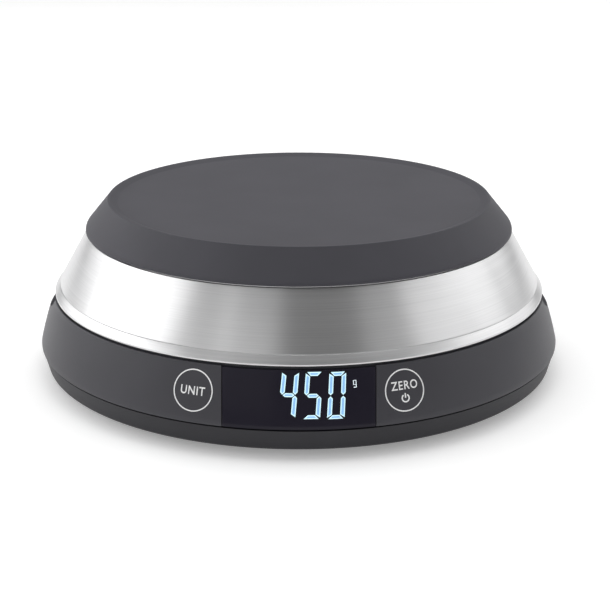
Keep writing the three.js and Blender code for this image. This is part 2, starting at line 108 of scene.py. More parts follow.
DIAGONALS = (45, 135, 225, 315)
SCREW_CIRCLE = 106
FOOT_CIRCLE = 92
CELL_SCREWS_X = (-20, -34)
DOOR_LOW, DOOR_HIGH = box_mm("battery_door")


# ---- meshes ----

def finish_mesh(name, verts, faces):
    """A smooth-shaded object whose creases stay sharp; points are in millimetres."""
    mesh = bpy.data.meshes.new(name)
    mesh.from_pydata([Vector(v) * MM for v in verts], [], faces)
    work = bmesh.new()
    work.from_mesh(mesh)
    bmesh.ops.recalc_face_normals(work, faces=work.faces)
    work.to_mesh(mesh)
    work.free()
    return shaded(name, mesh)


def shaded(name, mesh):
    mesh.shade_smooth()
    mesh.set_sharp_from_angle(angle=CREASE)
    piece = bpy.data.objects.new(name, mesh)
    bpy.context.scene.collection.objects.link(piece)
    return piece


def rounded(corners, closed=False, bends=6):
    """The outline through corners of (radius, height) or (radius, height, fillet)."""
    points = []
    count = len(corners)
    for i, corner in enumerate(corners):
        here = Vector(corner[:2])
        fillet = corner[2] if len(corner) > 2 else 0
        at_end = not closed and i in (0, count - 1)
        if at_end or not fillet:
            points.append(tuple(here))
            continue
        before = Vector(corners[i - 1][:2]) - here
        after = Vector(corners[(i + 1) % count][:2]) - here
        reach = fillet / math.tan(before.angle(after) / 2)
        first = here + before.normalized() * min(reach, before.length * 0.49)
        last = here + after.normalized() * min(reach, after.length * 0.49)
        for k in range(bends + 1):
            t = k / bends
            points.append(tuple(first * (1 - t) ** 2 + here * (2 * t * (1 - t)) + last * t ** 2))
    return points


def turned(name, outline, closed=False, steps=STEPS, centre=(0, 0)):
    """A closed solid of revolution; an open outline starts and ends on the axis."""
    verts = []
    rings = []
    for radius, height in outline:
        sides = 1 if radius < 1e-6 else steps
        rings.append(range(len(verts), len(verts) + sides))
        for i in range(sides):
            turn = 2 * math.pi * i / steps
            verts.append((centre[0] + radius * math.cos(turn), centre[1] + radius * math.sin(turn), height))
    pairs = list(zip(rings, rings[1:]))
    if closed:
        pairs.append((rings[-1], rings[0]))
    faces = []
    for low, high in pairs:
        for i in range(steps):
            j = (i + 1) % steps
            corners = [low[i % len(low)], low[j % len(low)], high[j % len(high)], high[i % len(high)]]
            face = list(dict.fromkeys(corners))
            if len(face) > 2:
                faces.append(face)
    return finish_mesh(name, verts, faces)


def bevel_edges(work, edges, offset, segments):
    bmesh.ops.bevel(
        work, geom=edges, offset=offset * MM, segments=segments, affect="EDGES", profile=0.5)


def block(name, low, high, bevel=0.0):
    """A box, with its edges rounded where a bevel is given."""
    xs, ys, zs = zip(low, high)
    verts = [(x, y, z) for x in xs for y in ys for z in zs]
    faces = [(0, 1, 3, 2), (4, 6, 7, 5), (0, 4, 5, 1), (2, 3, 7, 6), (0, 2, 6, 4), (1, 5, 7, 3)]
    piece = finish_mesh(name, verts, faces)
    if bevel:
        work = bmesh.new()
        work.from_mesh(piece.data)
        bevel_edges(work, work.edges[:], bevel, 3)
        work.to_mesh(piece.data)
        work.free()
        piece.data.shade_smooth()
    return piece


def ellipsoid(name, centre, size):
    """A ball stretched to the three half sizes."""
    rings = 48
    outline = [(math.sin(math.pi * i / rings), -math.cos(math.pi * i / rings)) for i in range(rings + 1)]
    outline[0] = (0, -1)
    outline[-1] = (0, 1)
    piece = turned(name, outline, steps=96)
    for vert in piece.data.vertices:
        vert.co = Vector([(c + s * v / MM) * MM for c, s, v in zip(centre, size, vert.co)])
    return piece


def carve(piece, kind, *tools):
    """Joins or cuts the piece with the tools, which are then deleted."""
    for tool in tools:
        step = piece.modifiers.new(kind, "BOOLEAN")
        step.operation = kind
        step.solver = "EXACT"
        step.object = tool
    bpy.context.view_layer.update()
    made = bpy.data.meshes.new_from_object(piece.evaluated_get(bpy.context.evaluated_depsgraph_get()))
    piece.modifiers.clear()
    piece.data = made
    made.shade_smooth()
    made.set_sharp_from_angle(angle=CREASE)
    for tool in tools:
        bpy.data.objects.remove(tool)
    return piece


def merged(name, *pieces):
    """One object from several separate closed shells."""
    work = bmesh.new()
    for piece in pieces:
        work.from_mesh(piece.data)
        bpy.data.objects.remove(piece)
    mesh = bpy.data.meshes.new(name)
    work.to_mesh(mesh)
    work.free()
    return shaded(name, mesh)


# ---- materials ----

class Finish:
    """A node material with a Principled shader and helpers for procedural detail."""

    def __init__(self, name, **sockets):
        self.material = bpy.data.materials.new(name)
        self.material.use_nodes = True
        self.nodes = self.material.node_tree.nodes
        self.links = self.material.node_tree.links
        self.shader = self.nodes["Principled BSDF"]
        for socket, value in sockets.items():
            self.shader.inputs[socket.replace("_", " ")].default_value = value
        self.place = self.nodes.new("ShaderNodeTexCoord").outputs["Object"]

    def noise(self, scale, detail=4.0, rough=0.55, vector=None):
        node = self.nodes.new("ShaderNodeTexNoise")
        node.inputs["Scale"].default_value = scale
        node.inputs["Detail"].default_value = detail
        node.inputs["Roughness"].default_value = rough
        self.links.new(vector or self.place, node.inputs["Vector"])
        return node.outputs["Fac"]

    def tones(self, fac, dark, light, low=0.3, high=0.7):
        ramp = self.nodes.new("ShaderNodeValToRGB")
        ramp.color_ramp.elements[0].position = low
        ramp.color_ramp.elements[1].position = high
        ramp.color_ramp.elements[0].color = (*dark, 1)
        ramp.color_ramp.elements[1].color = (*light, 1)
        self.links.new(fac, ramp.inputs["Fac"])
        self.links.new(ramp.outputs["Color"], self.shader.inputs["Base Color"])

    def roughness(self, fac, low, high):
        span = self.nodes.new("ShaderNodeMapRange")
        span.inputs["To Min"].default_value = low
        span.inputs["To Max"].default_value = high
        self.links.new(fac, span.inputs["Value"])
        self.links.new(span.outputs["Result"], self.shader.inputs["Roughness"])

    def bump(self, fac, strength, distance):
        node = self.nodes.new("ShaderNodeBump")
        node.inputs["Strength"].default_value = strength
        node.inputs["Distance"].default_value = distance
        self.links.new(fac, node.inputs["Height"])
        self.links.new(node.outputs["Normal"], self.shader.inputs["Normal"])

    def around_axis(self, along, across):
        """Coordinates whose grain runs in rings about Z: slow around, quick across."""
        split = self.nodes.new("ShaderNodeSeparateXYZ")
        self.links.new(self.place, split.inputs["Vector"])
        flat = self.nodes.new("ShaderNodeVectorMath")
        flat.operation = "MULTIPLY"
        flat.inputs[1].default_value = (1, 1, 0)
        self.links.new(self.place, flat.inputs[0])
        radius = self.nodes.new("ShaderNodeVectorMath")
        radius.operation = "LENGTH"
        self.links.new(flat.outputs["Vector"], radius.inputs[0])
        step = self.nodes.new("ShaderNodeMath")
        step.operation = "MULTIPLY_ADD"
        step.inputs[1].default_value = -0.7  # the radius counts too, so flat stretches get rings
        self.links.new(radius.outputs["Value"], step.inputs[0])
        self.links.new(split.outputs["Z"], step.inputs[2])
        joined = self.nodes.new("ShaderNodeCombineXYZ")
        for socket in ("X", "Y"):
            slow = self.nodes.new("ShaderNodeMath")
            slow.operation = "MULTIPLY"
            slow.inputs[1].default_value = along
            self.links.new(split.outputs[socket], slow.inputs[0])
            self.links.new(slow.outputs["Value"], joined.inputs[socket])
        fast = self.nodes.new("ShaderNodeMath")
        fast.operation = "MULTIPLY"
        fast.inputs[1].default_value = across
        self.links.new(step.outputs["Value"], fast.inputs[0])
        self.links.new(fast.outputs["Value"], joined.inputs["Z"])
        return joined.outputs["Vector"]


def brushed_steel():
    """Satin stainless steel with its grain in rings around the bowl."""
    f = Finish("brushed_steel", Metallic=1.0, Anisotropic=0.7, Anisotropic_Rotation=0.25)
    tangent = f.nodes.new("ShaderNodeTangent")
    tangent.direction_type = "RADIAL"
    tangent.axis = "Z"
    f.links.new(tangent.outputs["Tangent"], f.shader.inputs["Tangent"])
    rings = f.around_axis(16, 2600)
    streaks = f.noise(1.0, 3.0, 0.6, rings)
    f.tones(streaks, (0.65, 0.65, 0.655), (0.73, 0.73, 0.735))
    f.roughness(streaks, 0.27, 0.36)
    f.bump(streaks, 0.07, 0.00006)
    return f.material


def moulded(name, dark, light, rough, grain, depth, **sockets):
    """Moulded plastic or rubber: a fine spark-eroded grain under slow tone changes."""
    f = Finish(name, **sockets)
    f.tones(f.noise(30, 3.0), dark, light)
    fine = f.noise(grain, 2.0, 0.6)
    f.roughness(fine, rough - 0.06, rough + 0.06)
    f.bump(fine, 0.35, depth)
    return f.material


def grey(value):
    """A very slightly blue grey."""
    return (value, value * 0.98, value * 1.16)


def metal(name, tone, rough):
    """Plain metal with a fine, even grain."""
    f = Finish(name, Metallic=1.0)
    fac = f.noise(900, 3.0)
    f.tones(fac, tuple(v * 0.88 for v in tone), tone)
    f.roughness(fac, rough - 0.08, rough + 0.08)
    f.bump(fac, 0.15, 0.00003)
    return f.material


def glow(name, colour, strength):
    """A lit surface of a display."""
    f = Finish(name, Roughness=0.4, Emission_Strength=strength)
    f.shader.inputs["Emission Color"].default_value = (*colour, 1)
    f.tones(f.noise(400), tuple(v * 0.8 for v in colour), colour)
    return f.material


def make_finishes():
    return {
        "brushed_steel": brushed_steel(),
        "silicone": moulded("silicone", grey(0.058), grey(0.065), 0.66, 2600, 0.00003,
                            Specular_IOR_Level=0.3, Sheen_Weight=0.05, Sheen_Roughness=0.5),
        "housing_plastic": moulded("housing_plastic", grey(0.045), grey(0.051), 0.45, 2200, 0.00003,
                                   Specular_IOR_Level=0.4),
        "tray_plastic": moulded("tray_plastic", grey(0.024), grey(0.028), 0.55, 2200, 0.00004,
                                Specular_IOR_Level=0.35),
        "window_acrylic": moulded("window_acrylic", (0.0165, 0.0145, 0.0235), (0.0185, 0.0165, 0.0265),
                                  0.2, 120, 0.000002, Specular_IOR_Level=0.15),
        "display_plastic": moulded("display_plastic", grey(0.018), grey(0.024), 0.3, 1500, 0.00001),
        "white_plastic": moulded("white_plastic", (0.93, 0.93, 0.93), (0.96, 0.96, 0.96), 0.5, 1800, 0.00001),
        "circuit_board": moulded("circuit_board", (0.012, 0.09, 0.03), (0.02, 0.14, 0.05), 0.4, 700, 0.00003),
        "chip_resin": moulded("chip_resin", grey(0.01), grey(0.015), 0.5, 3000, 0.00001),
        "copper": metal("copper", (0.72, 0.38, 0.2), 0.35),
        "bar_aluminium": metal("bar_aluminium", (0.62, 0.63, 0.64), 0.4),
        "screw_steel": metal("screw_steel", (0.55, 0.55, 0.56), 0.32),
        "plated_steel": metal("plated_steel", (0.6, 0.6, 0.61), 0.4),
        "foot_rubber": moulded("foot_rubber", grey(0.022), grey(0.03), 0.75, 1500, 0.00005),
        "cell_wrap": moulded("cell_wrap", (0.04, 0.045, 0.06), (0.05, 0.055, 0.075), 0.3, 500, 0.00001),
        "red_wire": moulded("red_wire", (0.4, 0.015, 0.015), (0.5, 0.025, 0.02), 0.45, 900, 0.00001),
        "black_wire": moulded("black_wire", grey(0.012), grey(0.018), 0.45, 900, 0.00001),
    }


finishes = make_finishes()


def paint(piece, material):
    piece.data.materials.clear()
    piece.data.materials.append(material)


def dress(piece, body, slot, replaced=(), material=None):
    """Paints a piece with its slot's finish or the given material, puts it on its body and hides the CAD
    nodes it stands for.
    """
    paint(piece, material or finishes[slot])
    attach(piece, body)
    if replaced:
        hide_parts(*replaced)
    return piece


# ---- camera, lights and floor ----

def look_from(distance, elevation, pitch, target_z, lens, shift):
    """A camera in front of the object; the shift is a share of the picture's width."""
    data = bpy.data.cameras.new("camera")
    data.lens = lens
    data.sensor_width = 36
    data.shift_x = shift
    camera = bpy.data.objects.new("camera", data)
    rise = math.radians(elevation)
    camera.location = (0, -distance * math.cos(rise) * MM, (target_z + distance * math.sin(rise)) * MM)
    camera.rotation_euler = (math.radians(90 - pitch), 0, 0)
    bpy.context.scene.collection.objects.link(camera)
    bpy.context.scene.camera = camera


def softbox(name, at, aim, size, watts):
    """A rectangular light; its lengths are in metres."""
    data = bpy.data.lights.new(name, "AREA")
    data.shape = "RECTANGLE"
    data.size, data.size_y = size
    data.energy = watts
    light = bpy.data.objects.new(name, data)
    light.location = at
    light.rotation_euler = (Vector(aim) - Vector(at)).to_track_quat("-Z", "Y").to_euler()
    bpy.context.scene.collection.objects.link(light)


# Upright panels around the object: degrees from the front, positive to the right, and watts.
PANELS = (
    (-130, 4.2), (-103, 6), (-76, 5), (-48, 1.4), (-24, 1.5),
    (46, 0.9), (72, 2.6), (100, 3.4), (128, 3.2), (154, 1.2),
)
PANEL_DISTANCE = 1.6  # this and the next two are in metres
PANEL_HEIGHT = 0.75
PANEL_SIZE = (0.8, 1.1)
FLOOR_HALF = 6000


def studio():
    """Camera, lights, white surroundings and a plain white floor."""
    look_from(distance=669, elevation=17.6, pitch=18.58, target_z=RIM_Z, lens=84.3, shift=0.0101)
    softbox("overhead", (0, 0.5, 1.9), (0, 0.1, 0), (2.2, 2.0), 29)
    for azimuth, watts in PANELS:
        turn = math.radians(azimuth)
        at = (PANEL_DISTANCE * math.sin(turn), -PANEL_DISTANCE * math.cos(turn), PANEL_HEIGHT)
        softbox(f"panel_{azimuth}", at, (0, 0, 0.06), PANEL_SIZE, watts)
    world = bpy.data.worlds.new("studio")
    world.use_nodes = True
    world.node_tree.nodes["Background"].inputs["Color"].default_value = (1, 1, 1, 1)
    world.node_tree.nodes["Background"].inputs["Strength"].default_value = 0.14
    bpy.context.scene.world = world
    bpy.context.scene.view_settings.view_transform = "Standard"
    corners = [(x * FLOOR_HALF, y * FLOOR_HALF, 0) for x, y in ((-1, -1), (1, -1), (1, 1), (-1, 1))]
    floor = finish_mesh("floor", corners, [(0, 1, 2, 3)])
    paper = Finish("paper", Roughness=0.9, Specular_IOR_Level=0.1, Emission_Strength=0.26)
    paper.shader.inputs["Emission Color"].default_value = (1, 1, 1, 1)
    paper.tones(paper.noise(3), (0.88, 0.88, 0.88), (0.9, 0.9, 0.9))
    floor.data.materials.append(paper.material)


# ---- bowl ----

def side_r(z, inwards):
    """Radius of the silicone side above its bend, moved inwards by a wall."""
    return BEND_R - inwards - SIDE_SLOPE * (z - BEND_Z)


def steel_bowl():
    """The upturned steel bowl: a thick hem at the rim, a fine groove above it, one thin wall."""
    groove_z = RIM_Z + 4.1
    groove_r = RIM_R - 2.6
    sleeve_r = SLEEVE_R - 1.0
    hem_r = RIM_R - 3.5
    under = 1.5  # the steel lies this far inside the silicone's side
    wall = 0.8
    across = 1.2 * wall
    outline = rounded([
        (0, BOWL_TOP - wall),
        (side_r(BOWL_TOP, under) - across, BOWL_TOP - wall, 3.0),
        (side_r(BEND_Z, under) - across, BEND_Z),
        (sleeve_r - across, SLEEVE_Z),
        (groove_r - across, groove_z + 0.8, 4.0),
        (hem_r, RIM_Z + 3.2, 1.0),
        (hem_r, RIM_Z, 0.9),
        (RIM_R, RIM_Z, 0.5),
        (RIM_R - 0.05, RIM_Z + 0.9, 0.6),
        (groove_r + 0.15, groove_z - 0.2, 0.05),
        (groove_r - 0.3, groove_z, 0.05),
        (groove_r + 0.1, groove_z + 0.2, 0.05),
        (sleeve_r + 0.35, SLEEVE_Z - 0.8, 0.05),
        (sleeve_r - 0.4, SLEEVE_Z - 0.6, 0.05),
        (sleeve_r - 0.4, SLEEVE_Z + 0.8, 0.05),
        (side_r(BEND_Z, under), BEND_Z),
        (side_r(BOWL_TOP, under), BOWL_TOP, 3.4),
        (0, BOWL_TOP),
    ])
    dress(turned("bowl_shell", outline), "bowl", "brushed_steel", ["steel_bowl"])


def silicone_base():
    """The soft cap on the bowl's foot, with a raised ring around a flat middle."""
    under = BOWL_TOP + 0.3
    outline = rounded([
        (0, under),
        (side_r(under, 1.0), under, 1.6),
        (side_r(BEND_Z, 1.0), BEND_Z),
        (SLEEVE_R - 0.7, SLEEVE_Z + 0.5),
        (SLEEVE_R - 0.6, SLEEVE_Z + 0.2),
        (SLEEVE_R, SLEEVE_Z, 0.15),
        (SLEEVE_R - 0.1, SLEEVE_Z + 1.2, 3.0),
        (BEND_R, BEND_Z, 5.0),
        (LIP_R, LIP_Z - 0.9, 0.3),
        (LIP_R - 0.7, LIP_Z, 0.35),
        (LIP_R - 1.9, LIP_Z - 0.15, 1.2),
        (LIP_R - 4.8, LIP_Z - 1.3, 2.4),
        (0, LIP_Z - 1.3),
    ])
    dress(turned("bowl_sleeve", outline), "bowl", "silicone", ["silicone_base"])


# ---- housing ----

def housing_r(z):
    """Radius of the housing's gently bulging side."""
    drop = HOUSING_TOP - 0.4 - z
    return HOUSING_TOP_R + 0.3925 * drop - 0.0036 * drop * drop


def housing_side():
    """Points up the housing's side, from just above the seam to just under the top edge."""
    low = SEAM_Z + 1.1
    count = 12
    span = HOUSING_TOP - 0.8 - low
    return [(housing_r(low + span * i / count), low + span * i / count) for i in range(count + 1)]


def scoops(name, grow):
    """The finger recess at each side, as bodies to cut or join."""
    size = [v + grow for v in SCOOP_SIZE]
    return [ellipsoid(f"{name}_{side}", (side * SCOOP_X, 0, SCOOP_Z), size) for side in (-1, 1)]


def upper_housing():
    """The conical ring with its two finger recesses and the opening behind the window."""
    side = housing_side()
    foot = [(SEAM_R - 0.5, SEAM_Z, 0.1), (SEAM_R - 0.1, SEAM_Z + 0.15, 0.2)]
    crest = HOUSING_TOP - 0.15  # the bowl's rim clears it at the platform's low limit
    top = [(HOUSING_TOP_R - 0.02, crest, 0.35)]
    wall = 2.6
    inside = [
        (PLATE_R + 0.5, crest, 0.2),
        (PLATE_R + 0.5, HOUSING_TOP - 1.5),
        (114.9, 24.6),
        (SEAM_R - wall, SEAM_Z + 1.1),
        (SEAM_R - wall, SEAM_Z),
    ]
    ring = turned("housing_ring", rounded(foot + side + top + inside, closed=True), closed=True)
    whole = turned("whole", rounded([(0, SEAM_Z), *foot, *side, *top, (0, crest)]))
    for dish in scoops("dish", SCOOP_WALL):
        limit = whole.copy()
        bpy.context.scene.collection.objects.link(limit)
        carve(dish, "INTERSECT", limit)
        carve(ring, "UNION", dish)
    bpy.data.objects.remove(whole)
    half = 27.6
    aperture = block("aperture", (-half, -130, 16), (half, -90, 33.4))
    play = 0.35
    rebate_half = WINDOW_HALF + play
    rebate = window_band("rebate", rebate_half, WINDOW_LOW - 2, WINDOW_HIGH + 3, 0.5, WINDOW_WALL + play)
    carve(ring, "DIFFERENCE", *scoops("scoop", 0), aperture, rebate)
    dress(ring, "base", "housing_plastic", ["upper_housing"])


def window_band(name, half, low, high, proud, depth):
    """A plate across the front, from proud of the housing's side down to a depth inside it."""
    columns = 72
    rows = 14
    verts = []
    for skin in (0, 1):
        for j in range(rows + 1):
            z = low + (high - low) * j / rows
            radius = housing_r(z) - (depth if skin else -proud)
            for i in range(columns + 1):
                x = half * (2 * i / columns - 1)
                verts.append((x, -math.sqrt(radius * radius - x * x), z))
    width = columns + 1
    layer = width * (rows + 1)
    faces = []
    for j in range(rows):
        for i in range(columns):
            a = j * width + i
            faces.append((a, a + 1, a + 1 + width, a + width))
            faces.append((a + layer, a + width + layer, a + 1 + width + layer, a + 1 + layer))
    edge = [*range(width), *(j * width + columns for j in range(1, rows + 1))]
    edge += [rows * width + i for i in range(columns - 1, -1, -1)]
    edge += [j * width for j in range(rows - 1, 0, -1)]
    for a, b in zip(edge, edge[1:] + edge[:1]):
        faces.append((b, a, a + layer, b + layer))
    return finish_mesh(name, verts, faces)


def display_window():
    pane = window_band("window_pane", WINDOW_HALF, WINDOW_LOW, WINDOW_HIGH, 0, WINDOW_WALL)
    work = bmesh.new()
    work.from_mesh(pane.data)
    rim = [e for e in work.edges if e.calc_face_angle(0) > math.radians(50)]
    bevel_edges(work, rim, 0.07, 2)
    work.to_mesh(pane.data)
    work.free()
    pane.data.shade_smooth()
    pane.data.set_sharp_from_angle(angle=math.radians(40))
    dress(pane, "base", "window_acrylic", ["display_window"])


# ---- marks that follow the housing ----

def on_housing(across, up, angle, z, proud):
    """A point on the housing, from lengths measured along its surface."""
    height = z + up * 0.957  # the side leans, so a length up it gains a little less height
    radius = housing_r(height) + proud
    turn = math.radians(angle - 90) + across / housing_r(z)
    return (radius * math.cos(turn), radius * math.sin(turn), height)


def plate_shape(name, shapes, angle, z, proud):
    """Flat outlines laid on the housing as thin closed plates."""
    thick = 0.1
    verts = []
    faces = []
    for shape in shapes:
        start = len(verts)
        count = len(shape)
        for level in (proud, proud - thick):
            verts += [on_housing(x, y, angle, z, level) for x, y in shape]
        faces.append([start + i for i in range(count)])
        faces.append([start + count + i for i in reversed(range(count))])
        for i in range(count):
            j = (i + 1) % count
            faces.append((start + j, start + i, start + count + i, start + count + j))
    return finish_mesh(name, verts, faces)


def stroke(points, width, closed=False):
    """The two edge points beside each point of a line of some width."""
    count = len(points)
    sides = []
    for i, point in enumerate(points):
        before = points[i - 1] if closed or i else point
        after = points[(i + 1) % count] if closed or i < count - 1 else point
        along = (Vector(after) - Vector(before)).normalized()
        across = Vector((-along.y, along.x)) * (width / 2)
        sides.append((Vector(point) + across, Vector(point) - across))
    return sides


def line_piece(name, sides, closed, angle, z, proud=PRINT_PROUD):
    """A thin closed band on the housing, from the edge points of a stroke."""
    verts = []
    for left, right in sides:
        for point in (left, right):
            for level in (proud, proud - PRINT_THICK):
                verts.append(on_housing(point.x, point.y, angle, z, level))
    faces = []
    count = len(sides)
    for i in range(count if closed else count - 1):
        a = 4 * i
        b = 4 * ((i + 1) % count)
        faces += [(a, b, b + 2, a + 2), (a + 1, a + 3, b + 3, b + 1)]
        faces += [(a, a + 1, b + 1, b), (a + 2, b + 2, b + 3, a + 3)]
    if not closed:
        last = 4 * (count - 1)
        faces += [(0, 2, 3, 1), (last, last + 1, last + 3, last + 2)]
    return finish_mesh(name, verts, faces)


def arc(radius, start, end, count):
    """Points along an arc between two angles in degrees."""
    turns = [math.radians(start + (end - start) * i / count) for i in range(count + 1)]
    return [(radius * math.cos(t), radius * math.sin(t)) for t in turns]


def lettering(name, words, cap_height, angle, z, lift):
    """Plain lettering laid on the housing."""
    squeeze = 0.87
    text = bpy.data.curves.new(name, "FONT")
    text.body = words
    text.align_x = "CENTER"
    text.extrude = 0.01
    text.offset = 0.012
    text.space_character = 1.12
    text.resolution_u = 4
    holder = bpy.data.objects.new(name, text)
    bpy.context.scene.collection.objects.link(holder)
    bpy.context.view_layer.update()
    mesh = bpy.data.meshes.new_from_object(holder.evaluated_get(bpy.context.evaluated_depsgraph_get()))
    bpy.data.objects.remove(holder)
    xs = [v.co.x for v in mesh.vertices]
    ys = [v.co.y for v in mesh.vertices]
    scale = cap_height / (max(ys) - min(ys))
    middle = (max(xs) + min(xs)) / 2
    base = (max(ys) + min(ys)) / 2
    for vert in mesh.vertices:
        level = PRINT_PROUD if vert.co.z > 0 else PRINT_PROUD - PRINT_THICK
        across = (vert.co.x - middle) * scale * squeeze
        up = (vert.co.y - base) * scale + lift
        vert.co = Vector(on_housing(across, up, angle, z, level)) * MM
    work = bmesh.new()
    work.from_mesh(mesh)
    bmesh.ops.remove_doubles(work, verts=work.verts, dist=1e-7)
    bmesh.ops.recalc_face_normals(work, faces=work.faces)
    work.to_mesh(mesh)
    work.free()
    return shaded(name, mesh)


def touch_marks():
    """A printed circle with a word on each side, and the power sign in the right one."""
    for side, word, lift in ((-1, "UNIT", 0.0), (1, "ZERO", 2.1)):
        angle = side * KEY_ANGLE
        circle = stroke(arc(KEY_R, 0, 356, 89), KEY_LINE, True)
        dress(line_piece(f"{word.lower()}_ring", circle, True, angle, KEY_Z), "base", "white_plastic")
        dress(lettering(f"{word.lower()}_word", word, 3.5, angle, KEY_Z, lift), "base", "white_plastic")
    centre = -3.1
    loop = [(x, y + centre) for x, y in arc(1.5, 122, 418, 40)]
    loop_line = stroke(loop, POWER_LINE)
    dress(line_piece("power_loop", loop_line, False, KEY_ANGLE, KEY_Z), "base", "white_plastic")
    bar = [(0, centre + 0.1), (0, centre + 2.0)]
    bar_line = stroke(bar, POWER_LINE)
    dress(line_piece("power_bar", bar_line, False, KEY_ANGLE, KEY_Z), "base", "white_plastic")


DIGIT = {"wide": 6.85, "tall": 18.4, "bar": 1.8, "flat": 1.5, "gap": 0.2, "pitch": 9.55, "lean": 0.085}
DIGIT_BARS = {"4": "fgbc", "5": "afgcd", "0": "abcdef"}


def bar_outlines():
    """The seven bars of a digit, mitred where they meet, about the digit's middle."""
    x = DIGIT["wide"] / 2
    y = DIGIT["tall"] / 2
    bar = DIGIT["bar"]
    flat = DIGIT["flat"]
    gap = DIGIT["gap"]
    chip = 0.35
    top = [(-x + chip + gap, y), (x - chip - gap, y), (x - bar - gap, y - flat), (-x + bar + gap, y - flat)]
    middle = [
        (-x + bar / 2 + gap, 0), (-x + bar + gap, flat / 2), (x - bar - gap, flat / 2),
        (x - bar / 2 - gap, 0), (x - bar - gap, -flat / 2), (-x + bar + gap, -flat / 2),
    ]
    side = [
        (x, y - chip - gap), (x, bar / 2 + gap), (x - bar / 2, gap),
        (x - bar, bar / 2 + gap), (x - bar, y - flat - gap),
    ]
    left = [(-px, py) for px, py in side]
    return {
        "a": top, "g": middle, "d": [(px, -py) for px, py in top],
        "b": side, "f": left,
        "c": [(px, -py) for px, py in side], "e": [(px, -py) for px, py in left],
    }


def grown(shape, by):
    """A convex outline with every edge moved outwards."""
    middle = sum((Vector(p) for p in shape), Vector((0, 0))) / len(shape)
    edges = []
    for i, point in enumerate(shape):
        start = Vector(point)
        along = (Vector(shape[(i + 1) % len(shape)]) - start).normalized()
        out = Vector((along.y, -along.x))
        if out.dot(start - middle) < 0:
            out = -out
        edges.append((start + out * by, along))
    corners = []
    for i, (start, along) in enumerate(edges):
        last_start, last_along = edges[i - 1]
        reach = (start - last_start).cross(along) / last_along.cross(along)
        corners.append(last_start + last_along * reach)
    return corners


def digit_shapes(letter, shift, lift, grow):
    """The lit bars of one digit, grown or shrunk all round and leaning to the right."""
    outlines = bar_outlines()
    return [
        [(p.x + shift + p.y * DIGIT["lean"], p.y + lift) for p in grown(outlines[bar], grow)]
        for bar in DIGIT_BARS[letter]
    ]


def lit_display():
    """Three digits, each a dark mask, a bright rim and a blue core, and the unit sign."""
    middle_z = 26.35
    middle_x = 5.5
    drop = 0.25  # each digit sits this much lower than the one to its left
    sign_x = 22.25
    sign_rise = 3.8
    layers = (  # name, growth of every bar, height off the window, material
        ("digit_mask", 0.4, 0.05, moulded("mask", grey(0.002), grey(0.003), 0.3, 900, 0.000001)),
        ("digit_rims", 0.0, 0.09, glow("lit_rim", (0.6, 0.85, 0.95), 0.65)),
        ("digit_cores", -0.42, 0.12, glow("lit_core", (0.26, 0.5, 0.8), 0.5)),
    )
    for name, grow, proud, material in layers:
        shapes = []
        for i, letter in enumerate("450"):
            shapes += digit_shapes(letter, middle_x + (i - 1) * DIGIT["pitch"], -drop * (i - 1), grow)
        dress(plate_shape(name, shapes, 0, middle_z, proud), "base", "display_plastic", (), material)
    gram_sign(sign_x, middle_z + sign_rise)


def gram_sign(across, z):
    """The small unit sign: a bowl and a hook."""
    sign = glow("lit_sign", (0.8, 0.9, 0.95), 0.5)
    angle = math.degrees(across / housing_r(z))
    wide = 0.52
    line = 0.34
    bowl = stroke([(-wide, 1.3), (wide, 1.3), (wide, -0.35), (-wide, -0.35)], line, True)
    hook = stroke([(wide, -0.3), (wide, -1.35), (-wide, -1.35)], line)
    bowl_piece = line_piece("gram_bowl", bowl, True, angle, z, 0.09)
    dress(bowl_piece, "base", "display_plastic", (), sign)
    hook_piece = line_piece("gram_hook", hook, False, angle, z, 0.1)
    dress(hook_piece, "base", "display_plastic", (), sign)


# ---- tray, battery door, feet and screws ----

def polar(radius, degrees):
    turn = math.radians(degrees)
    return radius * math.cos(turn), radius * math.sin(turn)


def drill(name, radius, height, x, y, steps=48):
    """A round body from the table up, to cut a hole with."""
    return turned(name, [(0, 0), (radius, 0), (radius, height), (0, height)], steps=steps, centre=(x, y))


def bottom_tray():
    """The tray with its battery bay, the thumb notch of the door and the screw recesses."""
    wall = 2.2
    pocket_r = 116.4
    outline = rounded([
        (0, TRAY_Z),
        (115.9, TRAY_Z, 1.4),
        (TRAY_R - 2.1, TRAY_Z + 1.2, 1.2),
        (TRAY_R, TRAY_TOP, 0.15),
        (TRAY_R - 0.4, TRAY_TOP, 0.1),
        (TRAY_R - 0.8, TRAY_TOP - 1.4, 0.1),
        (pocket_r, TRAY_TOP - 1.4),
        (pocket_r, TRAY_TOP + 3.2),
        (115, TRAY_TOP + 3.2),
        (115, TRAY_TOP - 2.6),
        (113.4, TRAY_Z + wall),
        (0, TRAY_Z + wall),
    ])
    tray = turned("tray_shell", outline)
    half = DOOR_HIGH[0] - 0.6
    bay_wall = 1.5
    front = 24.5
    back = 75.5
    ceiling = 16.2
    bay_low = (-half - bay_wall, front - bay_wall, TRAY_Z + 1)
    carve(tray, "UNION", block("bay", bay_low, (half + bay_wall, back + bay_wall, ceiling + bay_wall)))
    notch_r = 7
    notch_z = TRAY_Z + 1.2
    notch = rounded([(0, 0), (notch_r, 0), (notch_r, notch_z, 0.8), (0, notch_z)])
    tools = [block("bay_inside", (-half, front, 0), (half, back, ceiling))]
    tools.append(turned("thumb", notch, steps=64, centre=(0, back + 1)))
    tools += [drill(f"recess_{a}", 3.5, 5.6, *polar(SCREW_CIRCLE, a)) for a in DIAGONALS]
    tools += [drill(f"cell_recess_{x}", 4.2, 5.5, x, 0) for x in CELL_SCREWS_X]
    carve(tray, "DIFFERENCE", *tools)
    dress(tray, "base", "tray_plastic", ["bottom_tray"])


